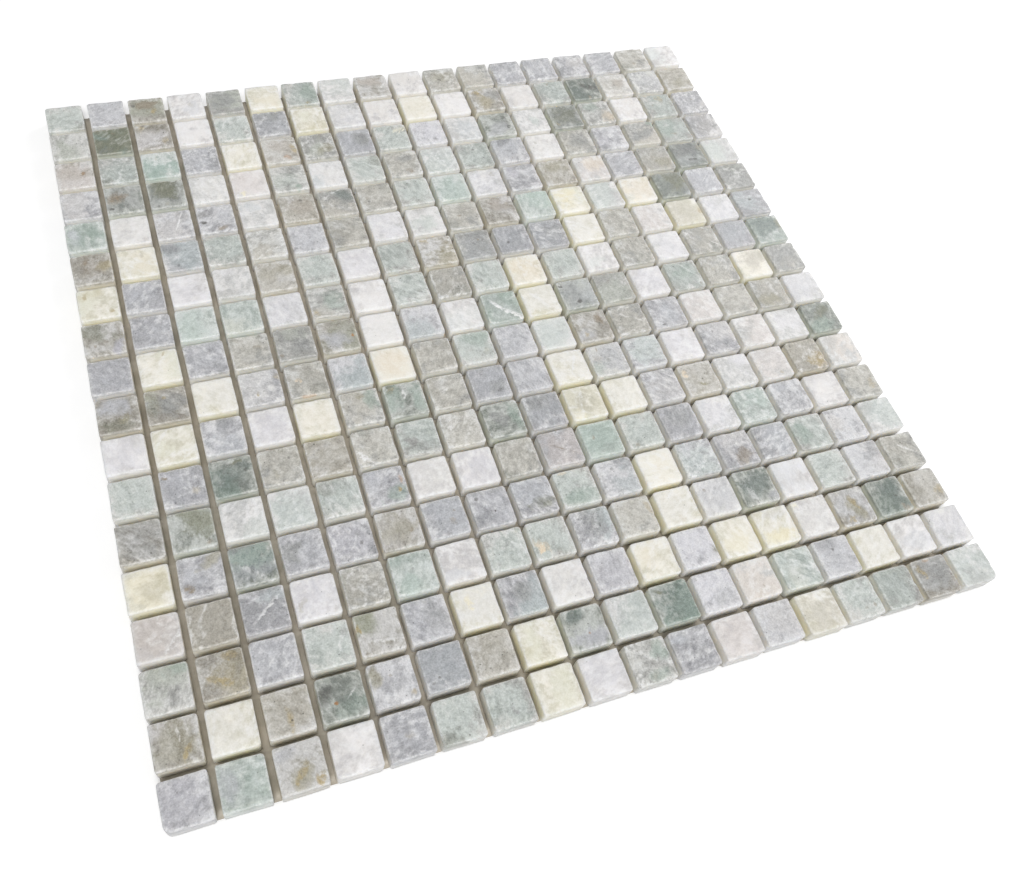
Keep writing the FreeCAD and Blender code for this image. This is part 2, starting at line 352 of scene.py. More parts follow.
# Clouds and marks that stand out are placed one by one. Each has its middle x, y in millimetres
# from the middle of the tile, its reach along and across, the turn of its length in degrees,
# its colour and its strength.
PLACED_CLOUDS = {
    (0, 2): [(1, 3, 6, 3.5, 0, UMBER, 0.7)],
    (0, 4): [(0, 1, 8, 7, 0, SMOKE, 0.8)],
    (0, 6): [(3, 0, 5, 8, 0, GREEN, 0.5)],
    (0, 8): [(0, 3, 7, 4, 0, CLAY, 0.7)],
    (0, 10): [(0, 2, 7, 5, 0, OLIVE, 0.4)],
    (1, 1): [(1, 0, 15, 15, 0, MOSS, 0.85)],
    (1, 5): [(1, 4, 7, 4, 0, SMOKE, 0.7)],
    (1, 11): [(4, 2, 4, 4, 0, SMOKE, 0.6)],
    (1, 14): [(3, 0.5, 6, 2.5, -30, COAL, 0.7), (-4, -3, 9, 9, 0, DEEP_GREEN, 0.6)],
    (1, 15): [(2, 1, 6, 4, 30, CLAY, 0.6)],
    (1, 17): [(1, -3, 6, 4, 10, OLIVE, 0.4)],
    (2, 0): [(0, 2, 7, 6, 0, CLAY, 0.6)],
    (2, 5): [(1, 2, 7, 5, -30, CLAY, 0.5)],
    (2, 6): [(3, -2, 6, 3.5, 30, OLIVE, 0.7)],
    (2, 7): [(3, 1, 4, 6, 0, SMOKE, 0.8)],
    (2, 11): [(4, 1, 3, 4.5, 0, COAL, 0.4), (-1, -3, 7, 5, 20, LILAC, 0.6)],
    (2, 13): [(-1, 1, 8, 7, 0, MOSS, 0.5)],
    (2, 14): [(-2, 4, 6, 4, 0, GREEN, 0.5), (4, -3, 4, 5, 0, PEACH, 0.5)],
    (3, 1): [(-3, 1, 5, 4, 20, UMBER, 0.6)],
    (3, 2): [(-1, 3, 9, 7, -30, MOSS, 0.8)],
    (3, 5): [(3, 5, 5, 3, 30, SMOKE, 0.5), (-1, -2, 8, 6, 0, GREEN, 0.3)],
    (3, 8): [(1, 3, 5, 3, 10, SMOKE, 0.6)],
    (3, 13): [(2, 1, 7, 6, 0, SMOKE, 0.7)],
    (3, 15): [(0, -1, 6, 3.5, 20, SMOKE, 0.8)],
    (3, 16): [(-4, 1, 6, 8, 0, GREEN, 0.4)],
    (3, 17): [(0, 0, 12, 12, 0, COAL, 0.3)],
    (4, 0): [(0, 0, 9, 9, 0, GREEN, 0.6)],
    (4, 3): [(-5, 3, 3.5, 3, 0, COAL, 0.4), (4, 1, 4, 5, 0, LILAC, 0.6)],
    (4, 5): [(1, 0, 6, 6, 0, CLAY, 0.5)],
    (4, 6): [(3, 4, 5, 3.5, -30, DEEP_GREEN, 0.6)],
    (4, 12): [(1, 3, 7, 4, 0, OLIVE, 0.6)],
    (4, 13): [(2, 2, 6, 6, 0, PEACH, 0.4)],
    (4, 15): [(2, -3, 6, 4, 0, OLIVE, 0.5)],
    (4, 16): [(-1, 3, 8, 6, 0, COAL, 0.45)],
    (5, 0): [(-1, 1, 8, 6, 0, UMBER, 0.35)],
    (5, 10): [(0, 3, 5, 5, 0, UMBER, 0.5)],
    (5, 12): [(-3, 1, 6, 8, 30, IVORY, 0.9)],
    (5, 14): [(0, 0, 10, 10, 0, PEACH, 0.35)],
    (5, 15): [(3, 2, 7, 8, 0, MOSS, 0.85)],
    (5, 16): [(0, 0, 10, 10, 0, LILAC, 0.7)],
    (6, 1): [(-2, 2, 6, 6, 0, LILAC, 0.9)],
    (6, 4): [(0, 2, 8, 5, 0, OLIVE, 0.3)],
    (6, 8): [(2, -3, 6, 5, 0, OLIVE, 0.5)],
    (6, 9): [(2, 2, 7, 6, 0, SMOKE, 0.4)],
    (6, 11): [(3, 1, 6, 5, 0, SMOKE, 0.4)],
    (7, 0): [(-2, 3, 8, 5, 0, MOSS, 0.6)],
    (7, 5): [(2, 0, 6, 6, 0, GREEN, 0.5)],
    (7, 10): [(0, 0, 10, 10, 0, PEACH, 0.3)],
    (7, 16): [(-1, 1, 8, 8, 0, SLATE, 0.7)],
    (7, 17): [(-2, 1, 10, 10, 10, DEEP_GREEN, 0.75), (6, 2, 3, 5, 0, OLIVE, 0.5)],
    (8, 4): [(3, -1, 5, 5, 30, SMOKE, 0.7)],
    (8, 5): [(-1, -2, 7, 5, 0, LILAC, 0.8)],
    (8, 9): [(4, 4, 7, 5, -40, GREEN, 0.6), (-6, -3, 4, 5, 0, GREEN, 0.4)],
    (8, 11): [(-2, 1, 8, 8, 0, SMOKE, 0.4)],
    (8, 14): [(1, 2, 7, 5, 0, GREEN, 0.5)],
    (8, 16): [(1, 2, 8, 7, 30, SAND, 0.7)],
    (8, 17): [(0, 0, 9, 9, 0, SMOKE, 0.6)],
    (9, 0): [(0, -4.5, 9, 3.5, 0, MOSS, 0.5), (-1, 4, 9, 5, 0, LILAC, 0.9)],
    (9, 1): [(1, 0, 8, 7, 0, SMOKE, 0.8)],
    (9, 6): [(0, 0, 10, 10, 0, PEACH, 0.3)],
    (9, 8): [(3, 4, 7, 5, 0, GREEN, 0.5)],
    (9, 11): [(4, 3, 2.5, 4, 0, UMBER, 0.8), (-4, -4, 5, 4, 0, LILAC, 0.6)],
    (9, 16): [(-2.5, -4, 6, 4, 0, OLIVE, 0.6)],
    (10, 5): [(4.6, 3, 3.5, 6, 0, GREEN, 0.6)],
    (10, 6): [(-5, 1, 4, 8, 0, GREEN, 0.6), (5, -1, 4, 8, 0, GREEN, 0.6)],
    (10, 8): [(2.7, -2.5, 5, 4, 0, SMOKE, 0.6)],
    (10, 11): [(-5, -3.5, 4, 4, 0, GREEN, 0.4)],
    (10, 17): [(-2, -4, 8, 5, 20, GREEN, 0.6), (2, 3, 8, 3, 35, MOSS, 0.7)],
    (11, 1): [(0, 2, 8, 5, 0, LILAC, 0.6)],
    (11, 2): [(1, 1, 8, 5, 20, DEEP_GREEN, 0.4)],
    (11, 8): [(5, 0, 4, 7, 0, GREEN, 0.6), (-2, 0, 4, 5, 0, SMOKE, 0.7)],
    (11, 9): [(-1, 4, 6, 4, 0, SMOKE, 0.8)],
    (11, 10): [(-1, 0.5, 6, 6, 0, OLIVE, 0.4)],
    (11, 16): [(3, -4, 6, 5, 30, OCHRE, 0.7)],
    (12, 5): [(-4, 4, 6, 6, 0, LILAC, 0.9), (3, -4, 6, 4, 30, GREEN, 0.6)],
    (12, 10): [(0, 0, 9, 9, 0, GREEN, 0.3)],
    (12, 12): [(0, 2, 8, 8, 0, SMOKE, 0.5)],
    (13, 0): [(0, 0, 10, 10, 0, IVORY, 0.6), (2, -1, 7, 6, 30, OLIVE, 0.3)],
    (13, 1): [(4, 5, 5, 3, 30, OLIVE, 0.6), (-2, 0, 6, 5, 0, LILAC, 0.7)],
    (13, 2): [(0, 3, 10, 6, 10, GREEN, 0.7)],
    (13, 3): [(-3.4, 0, 5, 6, 20, SMOKE, 0.8)],
    (13, 5): [(0, 0, 9, 8, 0, OLIVE, 0.5)],
    (13, 8): [(2.5, -3, 6, 3.5, 20, MOSS, 0.6)],
    (13, 9): [(0, -4, 9, 4, 0, GREEN, 0.6)],
    (13, 13): [(2, -3, 5, 4, 40, UMBER, 0.6)],
    (13, 15): [(-5, 0, 5, 7, 0, GREEN, 0.55)],
    (14, 0): [(0, 0, 12, 12, 0, CLAY, 0.35)],
    (14, 2): [(-3, 1, 8, 8, 0, SMOKE, 0.2)],
    (14, 9): [(0, 2, 8, 8, 0, SMOKE, 0.6)],
    (14, 13): [(0, 1, 8, 6, 20, DEEP_GREEN, 0.7), (6, -5, 4, 3, 20, LILAC, 0.7)],
    (15, 0): [(4, 6, 5, 3, 0, GREEN, 0.5)],
    (15, 5): [(3, 1, 5, 6, 20, SMOKE, 0.4)],
    (15, 6): [(0, 0, 14, 14, 0, PALE, 0.8)],
    (15, 7): [(0, 1, 5, 5, 60, SMOKE, 0.7)],
    (15, 13): [(0, -4, 9, 3.5, 0, IVORY, 0.9), (0, 5, 7, 3, 0, LILAC, 0.3)],
    (15, 15): [(1, -1, 3, 7, 10, OLIVE, 0.7)],
    (15, 16): [(2, 2, 7, 7, 0, DEEP_GREEN, 0.7)],
    (16, 0): [(0, 0, 9, 9, 0, OLIVE, 0.5)],
    (16, 3): [(-5.5, 2, 4, 3, 60, COAL, 0.6), (3, -3, 7, 5, 10, GREEN, 0.4)],
    (16, 4): [(-5, 3, 3, 4.5, 0, OLIVE, 0.7), (0, -4, 7, 4, 0, FROST, 0.25)],
    (16, 5): [(0, 0, 12, 12, 0, SLATE, 0.9)],
    (16, 8): [(-2.7, 4.5, 6, 3, 20, DEEP_GREEN, 0.8), (1, -4, 8, 5, 0, LILAC, 0.9)],
    (16, 10): [(1, 0, 12, 12, 0, DEEP_GREEN, 0.4)],
    (16, 11): [(3, -3, 6, 4, 0, SMOKE, 0.3)],
    (17, 1): [(-5, 0, 3.5, 7, 0, LILAC, 0.6), (4, -1, 6, 7, 0, GREEN, 0.4)],
    (17, 2): [(0.5, -3, 5, 5, 20, OLIVE, 0.6), (-4, 5, 6, 3, 20, LILAC, 0.6)],
    (17, 9): [(5, 3, 5, 5, 0, GREEN, 0.6), (1, -5, 5, 3, 0, GREEN, 0.5)],
    (17, 16): [(2, 1, 6, 6, 0, SMOKE, 0.6)],
}

PLACED_MARKS = {
    (0, 2): [(3, -1, 3, 1.8, 30, OCHRE, 0.9), (-5.5, 3, 1.2, 1, 0, COAL, 0.8)],
    (0, 6): [(1.5, -6.5, 1.4, 1.2, 0, OCHRE, 0.8)],
    (0, 8): [(3, -2, 6, 0.6, 50, FROST, 0.7)],
    (1, 2): [(-5, 5, 3, 2, 60, OCHRE, 0.8), (4.5, -3, 2.2, 1.6, 60, OCHRE, 0.8)],
    (1, 11): [(-4, 4.5, 2.8, 2, 20, OCHRE, 1.0)],
    (2, 0): [(3.2, 0.5, 2, 1.5, 60, UMBER, 0.8), (3.2, 0.5, 1.2, 0.8, 60, RUST, 0.4)],
    (2, 5): [(1.8, -4, 3.2, 1.9, -60, RUST, 0.6), (5.5, 0.5, 1.6, 3, 10, OCHRE, 0.7)],
    (2, 7): [(4.5, -7, 0.8, 0.5, 0, COAL, 0.9)],
    (2, 8): [(3.5, 3.5, 4, 2, 20, IVORY, 0.6)],
    (2, 11): [(3.5, 4.5, 1.8, 1, -20, COAL, 0.9), (4.5, -2, 1.9, 1, 40, COAL, 0.9)],
    (3, 1): [(-3, 1, 2.6, 1.6, 30, UMBER, 0.9), (-5.5, -4.5, 1.4, 0.8, 0, COAL, 0.9)],
    (3, 4): [(-4, -5.5, 3, 2, 20, IVORY, 0.9)],
    (3, 5): [(3, -5.5, 2.2, 2, 0, GREEN, 1.0)],
    (3, 8): [(2, -5, 2.4, 1.8, -40, UMBER, 0.8)],
    (3, 15): [(7, 5.5, 2.8, 3.2, 0, GREEN, 1.0)],
    (3, 17): [(5.5, -1, 3, 1, 25, COAL, 0.9), (-3, -2, 3.4, 0.9, -30, COAL, 0.6)],
    (4, 2): [(1.8, 0.5, 5.5, 0.45, 68, FROST, 1.0)],
    (4, 3): [(-5.5, -1.3, 1.8, 1.2, 0, COAL, 0.9), (1, -5.5, 3, 1.6, 10, UMBER, 0.7)],
    (4, 5): [(1, 4, 0.9, 0.9, 0, COAL, 0.8)],
    (4, 16): [(6.5, 3.5, 1.8, 2.6, 0, UMBER, 0.6), (1, -3.5, 2.2, 1.1, 0, COAL, 0.9)],
    (5, 0): [(-2, 3.5, 1.6, 1.5, 0, UMBER, 0.8)],
    (5, 16): [(1, 1, 8, 0.4, 45, FROST, 0.9)],
    (6, 0): [(4.5, -4.5, 1.4, 1, 0, OCHRE, 0.8), (-4.5, 4, 0.8, 1.4, 0, OCHRE, 0.6)],
    (6, 8): [(-4, 5.5, 2.6, 1.7, -20, OCHRE, 0.95)],
    (6, 10): [(-2.5, -1.5, 1.4, 0.9, 30, COAL, 0.8)],
    (6, 15): [(7, -0.5, 1.8, 3, 0, OCHRE, 0.7)],
    (6, 17): [(0, 1.5, 1, 0.8, 0, COAL, 0.8)],
    (7, 5): [(-5.5, -5, 1.6, 1.6, 0, OCHRE, 0.7)],
    (8, 2): [(2, 3, 1, 0.8, 0, COAL, 0.7)],
    (8, 3): [(2.7, 1.3, 1.8, 1.5, 0, UMBER, 0.6)],
    (8, 4): [(-6, -5, 1.2, 1, 0, UMBER, 0.9)],
    (8, 5): [(5.4, -0.8, 0.9, 1.1, 0, RUST, 1.0)],
    (8, 9): [(-2.5, 1.8, 6, 1, -48, FROST, 1.0), (4, -4.2, 5.5, 1.2, -38, FROST, 0.9)],
    (8, 11): [(-1, -4, 2, 1.2, 30, COAL, 0.9), (-5.8, 5, 1, 0.9, 0, COAL, 0.8)],
    (9, 0): [(1.5, -2.5, 2.6, 2, 30, OLIVE, 0.8), (-4.5, -4, 1, 0.8, 0, MOSS, 0.9)],
    (9, 3): [(6, 3.5, 1.8, 1.8, 0, OCHRE, 0.5), (-1.5, -2.5, 0.7, 1, 0, OCHRE, 0.7)],
    (9, 4): [(-3.1, 0, 1.3, 1.2, 0, PEACH, 0.9), (-1, -7.2, 4, 0.7, 0, RUST, 0.6)],
    (9, 13): [(-3.5, -6, 1.4, 0.6, 0, COAL, 0.8)],
    (10, 5): [(0, 4.8, 3, 1.5, 0, OLIVE, 0.9)],
    (10, 6): [(-5.3, 4.3, 2, 1.5, 60, OLIVE, 0.9), (-0.3, 3.5, 1, 4, 0, FROST, 0.6)],
    (10, 8): [(3, -4.5, 2.6, 1.4, 30, COAL, 0.6)],
    (10, 10): [(1.5, 0, 7, 0.6, 64, FROST, 0.8)],
    (10, 13): [(2, 0, 1.6, 7, 0, FROST, 0.7)],
    (11, 1): [(4.5, -2.7, 2, 2, 0, OCHRE, 0.6), (-5.3, 4.5, 1.6, 0.9, 0, UMBER, 0.9)],
    (11, 2): [(2, 5.5, 2, 1.4, 30, MOSS, 0.9), (4.7, 1.8, 1, 0.8, 0, COAL, 0.7)],
    (11, 5): [(-4.5, -3.8, 4, 1.5, -55, FROST, 1.0)],
    (11, 13): [(-6, 3, 1.8, 2.4, 30, PEACH, 0.9), (0, -2.8, 3.4, 0.9, -25, OLIVE, 0.9)],
    (11, 16): [(4.5, -4.5, 2, 2, 0, OCHRE, 0.9), (-5.5, 5.5, 0.8, 0.8, 0, COAL, 0.7)],
    (12, 1): [(5, -5.5, 1.2, 1, 0, UMBER, 0.7)],
    (12, 5): [(5.8, 1.8, 1, 2.2, 0, RUST, 0.5), (4.2, -2, 1, 1, 0, OCHRE, 0.8)],
    (12, 9): [(0, -0.5, 8, 0.5, -30, UMBER, 0.8)],
    (12, 17): [(4.5, -1.8, 2.4, 3, 0, OCHRE, 0.5)],
    (13, 1): [(-4.9, -3.6, 2, 1.5, -30, UMBER, 0.9)],
    (13, 7): [(1, -1.5, 0.6, 0.6, 0, COAL, 0.9), (-4.5, 4.5, 0.9, 0.8, 0, COAL, 0.7)],
    (13, 8): [(-3.6, -3.8, 1.4, 1.4, 0, MOSS, 0.9), (3, -4, 2.4, 1.2, 0, MOSS, 0.8)],
    (13, 9): [(-4, 6.5, 2.4, 0.9, 0, PEACH, 0.9)],
    (14, 0): [(4.5, -2.5, 5.5, 0.8, 48, FROST, 0.8)],
    (14, 2): [(1, 0.5, 8, 0.8, 40, FROST, 0.7)],
    (14, 8): [(-4.5, -2.5, 3.5, 2.8, -30, PEACH, 1.0)],
    (14, 10): [(6, 2, 1.3, 5, 10, OCHRE, 0.5)],
    (14, 17): [(1, 1, 7, 0.8, -40, FROST, 0.7)],
    (15, 1): [(3.4, 5.4, 3, 1.6, -10, OCHRE, 0.9), (0.6, -2.4, 5.5, 1.5, -20, OCHRE, 0.75)],
    (15, 3): [(4, 0, 1, 5, -15, FROST, 0.6)],
    (15, 4): [(-6.3, 2.7, 1.2, 1.8, 0, OCHRE, 1.0), (0, -3, 7, 0.8, -8, FROST, 0.6)],
    (15, 6): [(-2, 2.2, 2.2, 3, 0, IVORY, 0.9)],
    (15, 11): [(6.4, -2.7, 1.1, 1.8, 20, MOSS, 0.8)],
    (15, 14): [(-6.8, 5.6, 1.6, 1.8, 30, IVORY, 1.0)],
    (15, 15): [(1.5, 1.5, 2, 3.5, 20, OCHRE, 0.8), (-3, -5, 2.6, 1.4, 30, OCHRE, 0.8)],
    (15, 17): [(5, -2.5, 2.2, 3.2, -30, OCHRE, 0.7)],
    (16, 0): [(2.7, -3, 1.6, 3.4, -20, OCHRE, 0.8), (1, 2.5, 0.6, 3, 5, FROST, 0.6)],
    (16, 2): [(0, -2.5, 1.2, 5, 5, OCHRE, 0.7), (0.5, -2.8, 0.5, 0.5, 0, COAL, 0.8)],
    (16, 3): [(2.8, 0, 4.5, 0.5, 45, FROST, 0.6), (-2.1, -1.5, 0.75, 0.75, 0, RUST, 1.0)],
    (16, 5): [(-2.5, -2.8, 0.8, 0.7, 0, COAL, 0.9), (-4.9, -4.3, 0.8, 0.5, 0, COAL, 0.8)],
    (16, 8): [(0.5, -2.2, 0.6, 0.6, 0, RUST, 0.8)],
    (16, 10): [(-4.5, 5, 2, 0.8, -20, MOSS, 0.9), (3, 5.5, 0.9, 0.7, 0, COAL, 0.7)],
    (17, 2): [(0, -2, 1.6, 4.5, -30, OCHRE, 0.7), (5.2, -5, 1.6, 2, 0, OCHRE, 0.8)],
    (17, 6): [(1, -2.5, 1.6, 2, 0, SMOKE, 0.8)],
    (17, 16): [(-5, 3, 1.5, 3, 20, OCHRE, 0.9), (-0.5, 6.5, 2, 0.8, 0, RUST, 0.5)],
}
NO_MARK = (0, 0, 1, 1, 0, FROST, 0.0)


def chance_clouds(at, chance, stone):
    """A tint that covers a tile or drifts into it, and smoke near one of its edges. The smoke's
    strength is 0 where chance leaves it out."""
    tint = stone["tints"][chance.integers(len(stone["tints"]))]
    reach = chance.uniform(4, 18)
    drift = (*chance.uniform(-6, 6, 2), reach, reach * chance.uniform(0.5, 1.0),
             chance.uniform(0, 180), tint, chance.uniform(0.5, 1.0))
    if at in TINT_AT:
        drift = (*chance.uniform(-3, 3, 2), 16, 12, drift[4], TINT_AT[at], 0.5)
    reach = chance.uniform(4.0, 8.0)
    edge, along = chance.choice([-1, 1]) * chance.uniform(4, 8), chance.uniform(-7, 7)
    smoke = (*((edge, along) if chance.uniform() < 0.5 else (along, edge)), reach,
             reach * chance.uniform(0.5, 0.9), chance.uniform(0, 180), stone["smoke"],
             chance.uniform(0.15, 0.8) * (chance.uniform() < 0.9 * stone["smoky"]))
    return [drift, smoke]


def chance_marks(chance, stone):
    """A stain, and a frosty streak or a dark spot, on some of the tiles."""
    reach = chance.uniform(1.0, 3.2)
    stain = (*chance.uniform(-6.5, 6.5, 2), reach, reach * chance.uniform(0.4, 0.9),
             chance.uniform(0, 180), [OCHRE, OLIVE, UMBER][chance.integers(3)],
             chance.uniform(0.2, 0.7) * (chance.uniform() < stone["stained"]))
    streak = (*chance.uniform(-5, 5, 2), chance.uniform(4, 9), chance.uniform(0.8, 1.8),
              chance.uniform(0, 180), FROST, 0.4 * (chance.uniform() < stone["veined"]))
    spot = (*chance.uniform(-6.5, 6.5, 2), *chance.uniform(0.4, 1.2, 2), 0.0,
            [UMBER, COAL][chance.integers(2)], 0.6 * (chance.uniform() < stone["specked"]))
    return [stain, streak if chance.uniform() < 0.4 else spot]


def tile_marks(at, chance, stone):
    """One cloud or mark for each layer: the placed ones, over the tint that the tile has anyway."""
    clouds, marks = chance_clouds(at, chance, stone), chance_marks(chance, stone)
    if at in PLAIN:
        clouds, marks = [clouds[0], NO_MARK], [NO_MARK]
    placed = PLACED_CLOUDS.get(at, [])
    return clouds[:2 - len(placed)] + placed + (PLACED_MARKS.get(at, marks) + [NO_MARK])[:2]


def mark_values(local, mark):
    """A mark's attribute values at points on a tile: place against its reach, and its tint."""
    x, y, along, across, turn, colour, strength = mark
    turn = math.radians(turn)
    off = local[:, :2] / MM - (x, y)
    place = np.column_stack([(off[:, 0] * math.cos(turn) + off[:, 1] * math.sin(turn)) / along,
                             (off[:, 1] * math.cos(turn) - off[:, 0] * math.sin(turn)) / across,
                             np.full(len(off), strength)])
    return place, np.tile(eye_colour(*colour), (len(off), 1))


# Tiles

SIDE_STEPS, CORNER_STEPS, ARRIS_STEPS = 19, 5, 4
CORNER_RADII = (0.5 * MM, 1.3 * MM)
WELL_ROUNDED_RADIUS = 2.4 * MM
HOLLOW = 0.03 * MM        # how far a side is hollowed, on the average
ARRIS = 0.62 * MM         # how far an arris is rounded, where it isn't chipped
ARRIS_AT_MOST = 1.5 * MM
SHOULDER = 0.3 * MM       # a narrow ring inside the arris that keeps the top flat
FOOT_BEVEL, FOOT_BEVEL_HEIGHT = 0.15 * MM, 0.4 * MM
RIM = 3.0 * MM            # how far in from the sides the top's inner rings begin
CHIPS_PER_TILE = 1.3
CHIP_WIDTHS = (0.35 * MM, 0.9 * MM)
CHIP_DEPTHS = (0.2 * MM, 0.6 * MM)
SLOPE = 0.006             # how far a top tilts at most, each way
OUTER_SKIN = 1.2 * MM     # what counts as an outer side of the sheet
# Outer sides of the sheet, lit in the open, count as this much shallower, so they get less of the
# sides' painted fill light
OUTER_PAINTED_FILL = 0.35        # outer sides keep more of the top's colour
TONE_LOW, TONE_SPAN = 0.35, 0.3  # of the tiles that are neither dark nor light
TONE_STEP = 0.4           # how far dark and light tiles stand from the others
CORNERS = ["back right", "back left", "front left", "front right"]
WELL_ROUNDED = {(17, 0): "front left", (17, 17): "front right", (0, 17): "back right"}


def loose_parts(node):
    """The corner points of each separate solid of a CAD node."""
    mesh = bmesh.new()
    mesh.from_mesh(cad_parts[node].data)
    bmesh.ops.remove_doubles(mesh, verts=mesh.verts, dist=0.001 * MM)
    parts, seen = [], set()
    for start in mesh.verts:
        if start in seen:
            continue
        seen.add(start)
        part = [start]
        for vertex in part:
            near = {edge.other_vert(vertex) for edge in vertex.link_edges} - seen
            seen |= near
            part += sorted(near, key=lambda v: v.index)
        parts.append(np.array([v.co for v in part]))
    mesh.free()
    return parts


def tile_place(corners):
    """A tile's row from the back and column from the left, by the middle of its corners."""
    x, y = corners[:, :2].mean(axis=0)
    return round((-FIRST_TILE - y) / PITCH), round((x - FIRST_TILE) / PITCH)


def quarter_turned(points, quarter):
    """Points in a plane, turned about the origin by so many quarter turns."""
    angle = quarter * math.pi / 2
    turn = np.array([[math.cos(angle), math.sin(angle)], [-math.sin(angle), math.cos(angle)]])
    return points @ turn


def rounded_square(half, radii):
    """Points round a square with four rounded corners, as many to each side and corner."""
    angles = np.linspace(0, math.pi / 2, CORNER_STEPS + 1)
    arc = np.stack([np.cos(angles), np.sin(angles)], axis=1)
    points = []
    for quarter, radius in enumerate(radii):
        corner = half - radius + radius * arc
        next_corner = np.array([radii[(quarter + 1) % 4] - half, half])
        side = np.linspace(corner[-1], next_corner, SIDE_STEPS + 1)[1:-1]
        points.append(quarter_turned(np.concatenate([corner, side]), quarter))
    return np.concatenate(points)


def ripple(chance, count, waves):
    """A smooth closed row of values of about one unit, made of a few chance waves."""
    around = np.linspace(0, 2 * math.pi, count, endpoint=False)
    row = np.zeros(count)
    for wave in waves:
        row += chance.normal() * np.cos(wave * around + chance.uniform(0, 2 * math.pi))
    return row / math.sqrt(len(waves) / 2)


def tile_rings(chance, half, foot, top, radii):
    """The rings of points that make one tumbled tile about the Z axis, from the foot up, and
    how bruised each ring is, which also sets where a highlight is painted."""
    outer = rounded_square(half, radii)
    inner = rounded_square(half - RIM, [0.3 * MM] * 4)
    count = len(outer)
    inward = (inner - outer) / RIM

    hollow = HOLLOW * np.clip(1.2 + ripple(chance, count, range(2, 7)), 0, 3)
    arris = ARRIS * np.clip(1 + 0.16 * ripple(chance, count, range(3, 14)), 0.6, 2)
    along = np.cumsum(np.linalg.norm(outer - np.roll(outer, 1, axis=0), axis=1))
    for _ in range(chance.poisson(CHIPS_PER_TILE)):
        apart = np.abs(along - chance.uniform(0, along[-1]))
        apart = np.minimum(apart, along[-1] - apart)
        width = chance.uniform(*CHIP_WIDTHS)
        arris += chance.uniform(*CHIP_DEPTHS) * np.exp(-(apart / width) ** 2)
    arris = np.minimum(arris, ARRIS_AT_MOST)

    slope = chance.uniform(-SLOPE, SLOPE, 2)
    level = np.full(count, top - np.abs(slope).sum() * half)

    def ring(depth, height):
        return np.column_stack([outer + inward * depth[:, None], height])

    rings = [ring(hollow + FOOT_BEVEL, np.full(count, foot)),
             ring(hollow, np.full(count, foot + FOOT_BEVEL_HEIGHT)),
             ring(hollow * 0.6, (foot + level) / 2)]
    # How bruised each ring is, most half way round the arris; it also sets how much highlight is
    # painted there
    arris_bruise_and_highlight = [0.0, 0.0, 0.0]
    for lean in np.linspace(0, math.pi / 2, ARRIS_STEPS + 1):
        rings.append(ring(hollow + arris * (1 - math.cos(lean)),
                          level - arris * (1 - math.sin(lean))))
        arris_bruise_and_highlight.append(math.sin(2 * lean) ** 0.5 if 0 < lean < math.pi / 2 else 0.0)
    rings.append(ring(hollow + arris + SHOULDER, level))
    for share in (1.0, 0.5):
        rings.append(np.column_stack([inner * share, level]))
    arris_bruise_and_highlight += [0.0] * 3

    for points in rings:
        lift = ((points[:, 2] - foot) / (top - foot)) ** 2
        points[:, 2] += lift * (points[:, :2] @ slope)
    return rings, arris_bruise_and_highlight


def wall_faces(rings, count):
    """Faces from each ring of a stack to the next. Every ring has count points."""
    faces = []
    for low in range(0, (rings - 1) * count, count):
        for i in range(count):
            following = (i + 1) % count
            faces.append([low + i, low + following, low + count + following, low + count + i])
    return faces


def tile_faces(rings, count):
    """Faces of a tile's stack of rings: the foot, the walls, and a fan round the last point."""
    last, peak = (rings - 1) * count, rings * count
    fan = [[last + i, last + (i + 1) % count, peak] for i in range(count)]
    return [list(range(count))[::-1]] + wall_faces(rings, count) + fan


def chance_turn(chance):
    """A rotation to any direction, as a matrix for rows of points."""
    spin = Matrix.Rotation(chance.uniform(0, 2 * math.pi), 3, "Z")
    tip = Matrix.Rotation(math.acos(chance.uniform(-1, 1)), 3, "X")
    roll = Matrix.Rotation(chance.uniform(0, 2 * math.pi), 3, "Z")
    return np.array(spin @ tip @ roll)


def new_piece(name, points, faces, attributes, material):
    """A mesh object on the sheet. attributes holds rows of points' values by name."""
    mesh = bpy.data.meshes.new(name)
    mesh.from_pydata(points.tolist(), [], faces)
    for attribute, values in attributes.items():
        kind, field = ("FLOAT_VECTOR", "vector") if values.ndim == 2 else ("FLOAT", "value")
        data = mesh.attributes.new(attribute, kind, "POINT").data
        data.foreach_set(field, values.astype(np.float32).ravel())
    mesh.materials.append(material)
    piece = bpy.data.objects.new(name, mesh)
    bpy.context.scene.collection.objects.link(piece)
    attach(piece, "root")
    return piece


def measured_tile(corners):
    """How a CAD tile lies: the heights of its foot and top, half its side, the middle of its
    top, and the turn of its sides as a matrix for rows of points."""
    foot, top = corners[:, 2].min(), corners[:, 2].max()
    face = corners[corners[:, 2] > top - 0.01 * MM]
    centre = face.mean(axis=0)[:2]
    arm = face[np.argmax(face[:, :2].sum(axis=1))][:2] - centre
    turn = math.atan2(arm[1], arm[0]) - math.pi / 4
    turned = np.array([[math.cos(turn), math.sin(turn)], [-math.sin(turn), math.cos(turn)]])
    half = np.abs((corners[:, :2] - centre) @ turned.T).max()
    return foot, top, half, centre, turned


def tile_luck(at, chance):
    """The tile's three chance numbers, the first of them shifted where it is dark or light."""
    luck = chance.uniform(0, 1, 3)
    luck[0] = TONE_LOW + TONE_SPAN * luck[0] - TONE_STEP * (at in DARK) + TONE_STEP * (at in LIGHT)
    return luck


